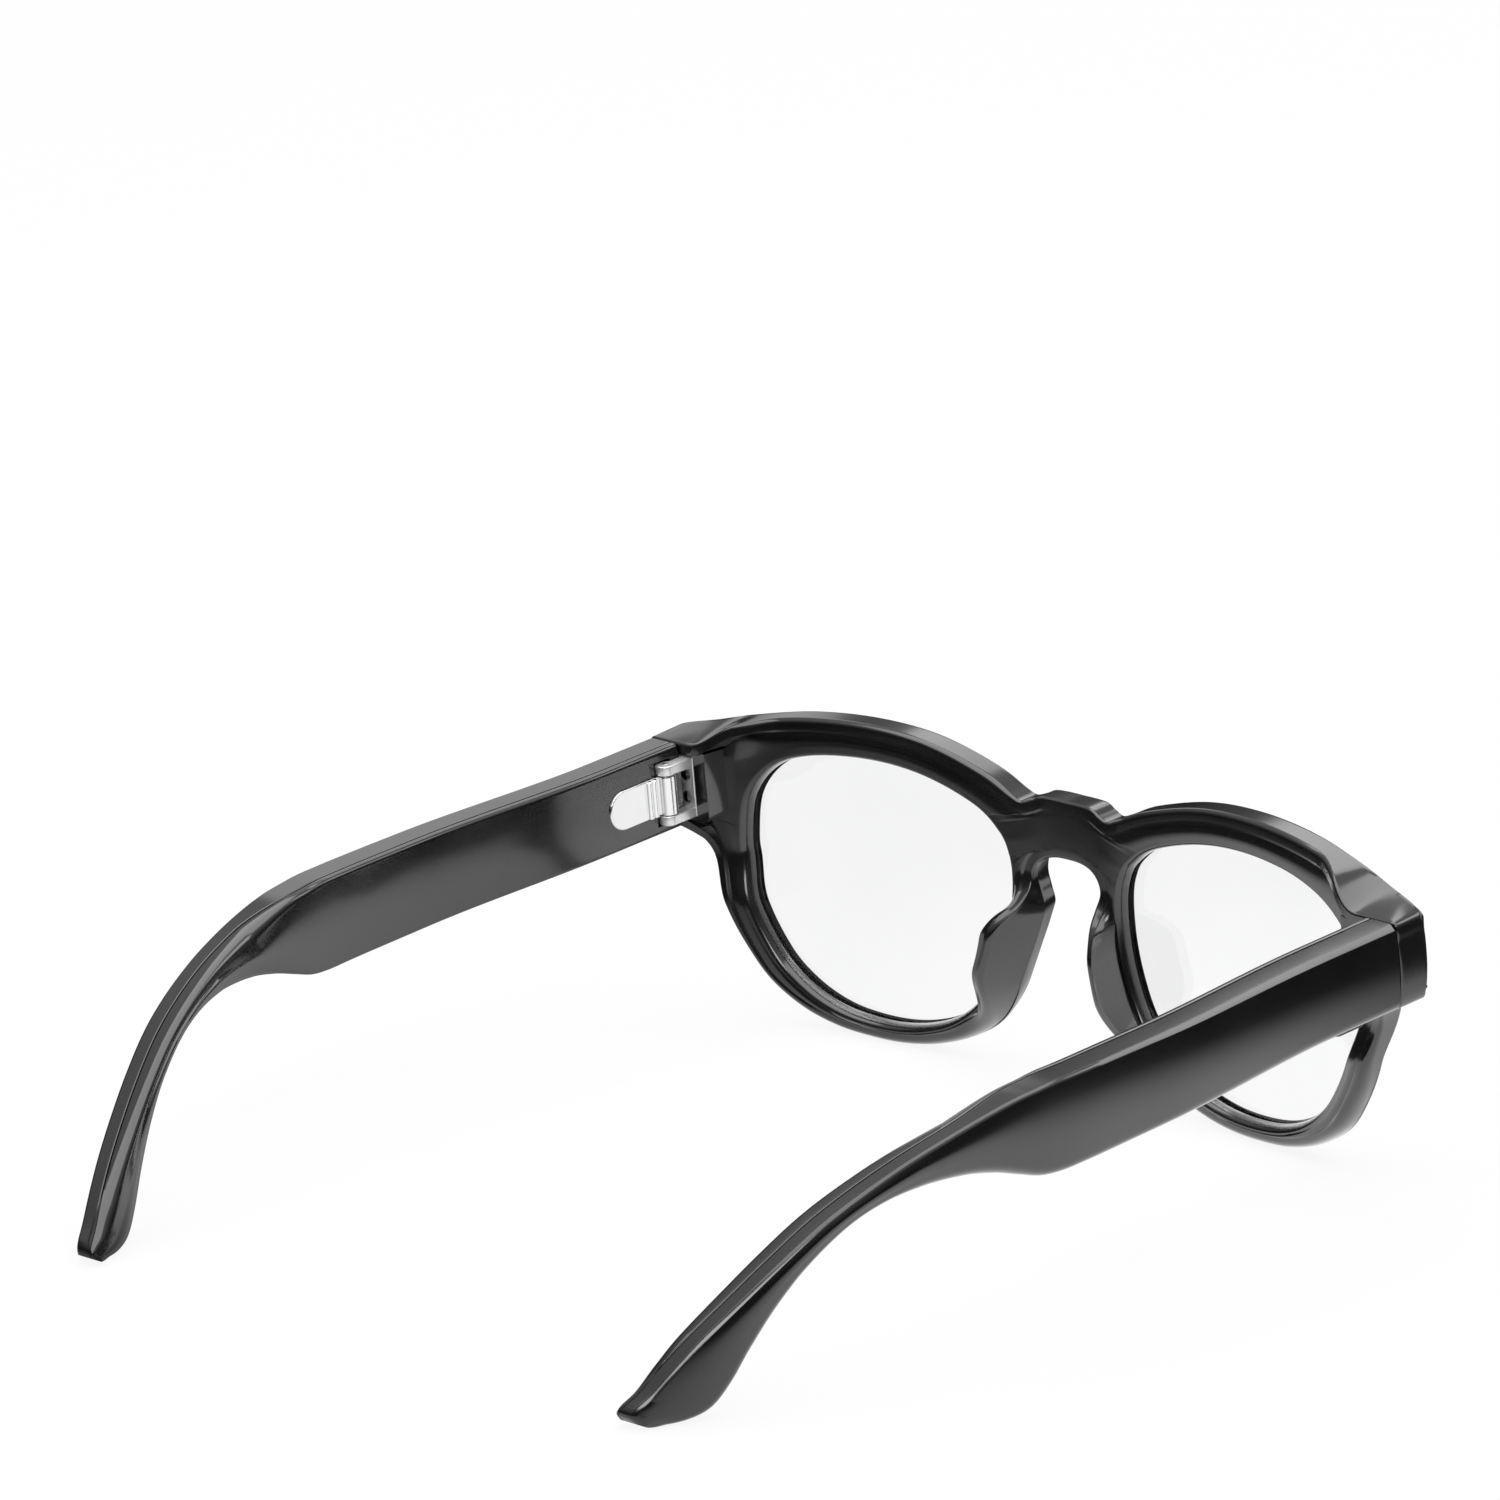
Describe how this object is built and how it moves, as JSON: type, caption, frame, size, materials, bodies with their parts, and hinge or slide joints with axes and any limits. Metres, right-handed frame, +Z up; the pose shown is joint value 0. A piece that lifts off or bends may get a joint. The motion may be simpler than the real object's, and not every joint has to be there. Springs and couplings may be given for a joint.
{
  "type": "smart glasses",
  "caption": "Smart glasses with a camera and a light in the end pieces, clear lenses in a keyhole front and thick folding temples that hold the electronics.",
  "frame": {"origin": "on the floor plane, midway between the front of the rims and the temple tips, on the centre line", "axes": "+Z up, -Y the way the wearer looks, +X to the wearer's left; rims and temple tips rest on z = 0"},
  "size_m": [0.1514, 0.149, 0.0482],
  "materials": {
    "shell": "polished black moulding",
    "lens": "clear, coated",
    "optic": "blue coated",
    "bezel": "dark polished ring",
    "camera_glass": "dark tinted, polished",
    "light_glass": "pale, polished",
    "black_part": "matt black",
    "circuit": "green solder mask",
    "reflector": "pale polished cup",
    "light_chip": "yellow phosphor",
    "hinge_metal": "polished",
    "battery": "wrapped pouch",
    "mesh": "fine black mesh",
    "flex": "amber film",
    "contacts": "gold plated",
    "button": "polished black"
  },
  "bodies": {
    "front": {"front_frame": "shell", "left_lens": "lens", "right_lens": "lens", "camera_bezel": "bezel", "camera_window": "camera_glass", "camera_barrel": "black_part", "camera_lens": "optic", "camera_sensor": "circuit", "light_bezel": "bezel", "light_window": "light_glass", "light_reflector": "reflector", "light_chip": "light_chip", "light_board": "circuit", "left_hinge_block": "black_part", "right_hinge_block": "black_part", "left_front_leaf": "hinge_metal", "right_front_leaf": "hinge_metal", "left_hinge_screws": "hinge_metal", "right_hinge_screws": "hinge_metal", "left_hinge_pin": "hinge_metal", "right_hinge_pin": "hinge_metal"},
    "left_temple": {"left_housing": "shell", "left_cover": "shell", "left_temple_leaf": "hinge_metal", "left_leaf_rivets": "hinge_metal", "left_board": "circuit", "left_battery": "battery", "left_speaker": "black_part", "left_speaker_mesh": "mesh", "left_flex": "flex"},
    "right_temple": {"right_housing": "shell", "right_cover": "shell", "right_temple_leaf": "hinge_metal", "right_leaf_rivets": "hinge_metal", "right_board": "circuit", "right_battery": "battery", "right_speaker": "black_part", "right_speaker_mesh": "mesh", "right_flex": "flex", "touch_strip": "flex", "charging_contacts": "contacts", "shutter_switch": "black_part"},
    "button": {"shutter_button": "button"}
  },
  "joints": [
    {"name": "left_fold", "type": "hinge", "parent": "front", "child": "left_temple", "pos_m": [0.0669, -0.05507, 0.03511], "axis": [0, 0.064, 0.998], "range_deg": [0, 75]},
    {"name": "right_fold", "type": "hinge", "parent": "front", "child": "right_temple", "pos_m": [-0.0669, -0.05507, 0.03511], "axis": [0, -0.064, -0.998], "range_deg": [0, 86]},
    {"name": "shutter_press", "type": "slide", "parent": "right_temple", "child": "button", "axis": [0, 0.064, 0.998], "range_m": [0, 0.0004], "stiffness_N_per_m": 300, "springref_m": -0.003}
  ]
}
